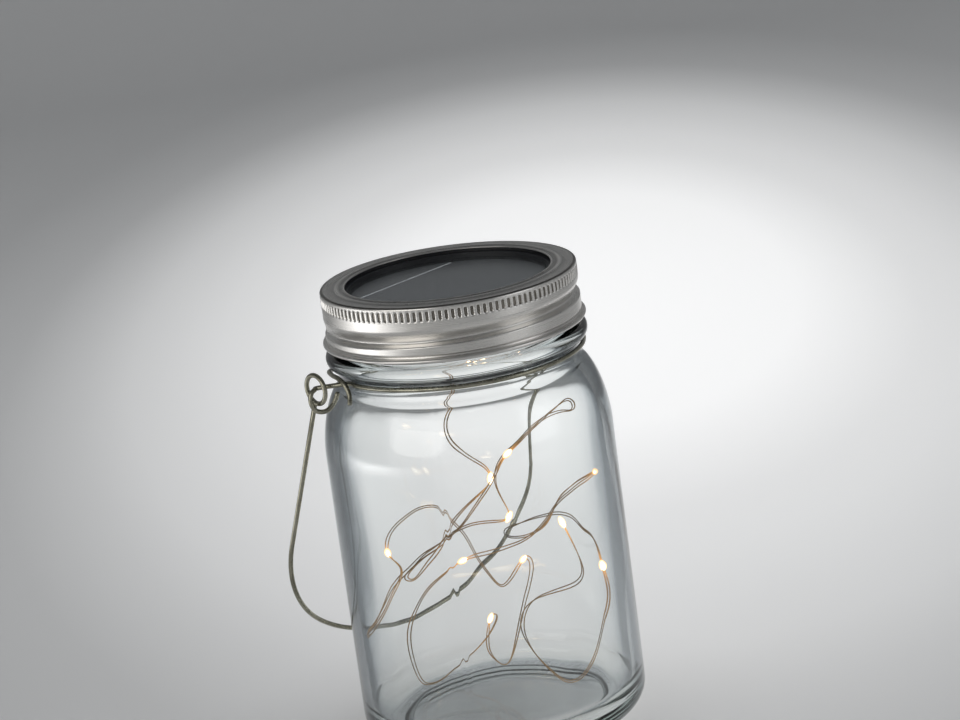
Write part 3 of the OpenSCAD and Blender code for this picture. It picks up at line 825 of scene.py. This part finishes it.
def stage_material():
    """Pale paper with light painted on it: a wide pool behind the jar and a patch on each side,
    which the metal and the glass reflect."""
    reach_z, left_strength = 0.12, 3.0
    s = Shader("stage_paper", Roughness=0.9)
    s.set("Base Color", (0.60, 0.605, 0.61))
    x, y, z = s.coordinates()

    def pool(middle_x, middle_y, reach_x, reach_y):
        """1 in the middle of a soft oval pool of light on the floor, falling to 0 far away."""
        side = s.math("DIVIDE", s.math("SUBTRACT", x, middle_x), reach_x)
        deep = s.math("DIVIDE", s.math("SUBTRACT", y, middle_y), reach_y)
        rise = s.math("DIVIDE", z, reach_z)
        squares = [s.math("MULTIPLY", v, v) for v in (side, deep, rise)]
        total = s.math("ADD", s.math("ADD", squares[0], squares[1]), squares[2])
        return s.math("DIVIDE", 1.0, s.math("ADD", total, 1.0))

    behind = s.ramp(pool(0.06, 0.50, 0.24, 0.55),
                    [(0.0, 0.0), (0.36, 0.0), (0.46, 0.05), (0.53, 0.16), (0.58, 0.25), (0.68, 0.36),
                     (0.74, 0.40), (0.87, 0.59), (1.0, 0.63)])
    left_patch = s.ramp(pool(-0.58, -0.08, 0.20, 0.26),
                       [(0.0, 0.0), (0.2, 0.0), (0.6, 0.45), (1.0, 1.0)])
    left_patch = s.math("MULTIPLY", left_patch, left_strength)
    right_patch = s.ramp(pool(0.42, -0.32, 0.16, 0.16),
                        [(0.0, 0.0), (0.3, 0.0), (0.6, 0.3), (1.0, 0.4)])
    glow = s.math("ADD", s.math("ADD", behind, left_patch), right_patch)
    s.link(glow, s.surface.inputs["Emission Color"])
    s.set("Emission Strength", 1.0)
    return s.material


def make_stage():
    """A round paper sweep: a pale floor that curves up into a wall all round."""
    floor_r, wall_r, wall_top, bend_steps = 1.2, 1.6, 1.1, 12
    outline = [(0, 0), (0.2, 0), (0.6, 0), (floor_r, 0)]
    outline += [(floor_r + (wall_r - floor_r) * math.sin(a), (wall_r - floor_r) * (1 - math.cos(a)))
                for a in (math.pi / 2 * i / bend_steps for i in range(1, bend_steps + 1))]
    outline += [(wall_r, wall_top)]
    sweep = turned("paper_sweep", outline, 96, stage_material())


def add_light(name, place, aim, size, power, colour=(1, 1, 1), size_y=None):
    """A soft box of light at place that faces aim; it is square unless size_y is given."""
    data = bpy.data.lights.new(name, "AREA")
    data.shape = "RECTANGLE"
    data.size, data.size_y = size, size_y or size
    data.energy = power
    data.color = colour
    light = bpy.data.objects.new(name, data)
    bpy.context.scene.collection.objects.link(light)
    light.location = place
    light.rotation_euler = (Vector(aim) - Vector(place)).to_track_quat("-Z", "Y").to_euler()
    return light


def make_lights():
    """A warm key light on the left, a weak fill on the right and a light above that isn't mirrored."""
    middle = (0, 0, 0.1)
    add_light("key_softbox", (-0.95, -1.0, 0.5), middle, 1.2, 4.8, (1, 0.985, 0.95), 0.9)
    add_light("fill_softbox", (1.1, -0.6, 0.5), middle, 0.7, 1.6, (0.97, 0.985, 1), 0.9)
    top = add_light("top_softbox", (0.1, 0.1, 1.35), middle, 0.9, 7)
    top.visible_glossy = False


def make_world():
    """Even grey light from all round, and plain view colours."""
    world = bpy.data.worlds.new("studio_world")
    world.use_nodes = True
    world.node_tree.nodes["Background"].inputs["Color"].default_value = (0.30, 0.31, 0.32, 1)
    world.node_tree.nodes["Background"].inputs["Strength"].default_value = 0.5
    bpy.context.scene.world = world
    bpy.context.scene.view_settings.view_transform = "Standard"


make_camera()
make_string()
make_jar()
make_neck_wire()
make_handle()
make_band()
dress_cad_nodes()
make_stage()
make_lights()
make_world()
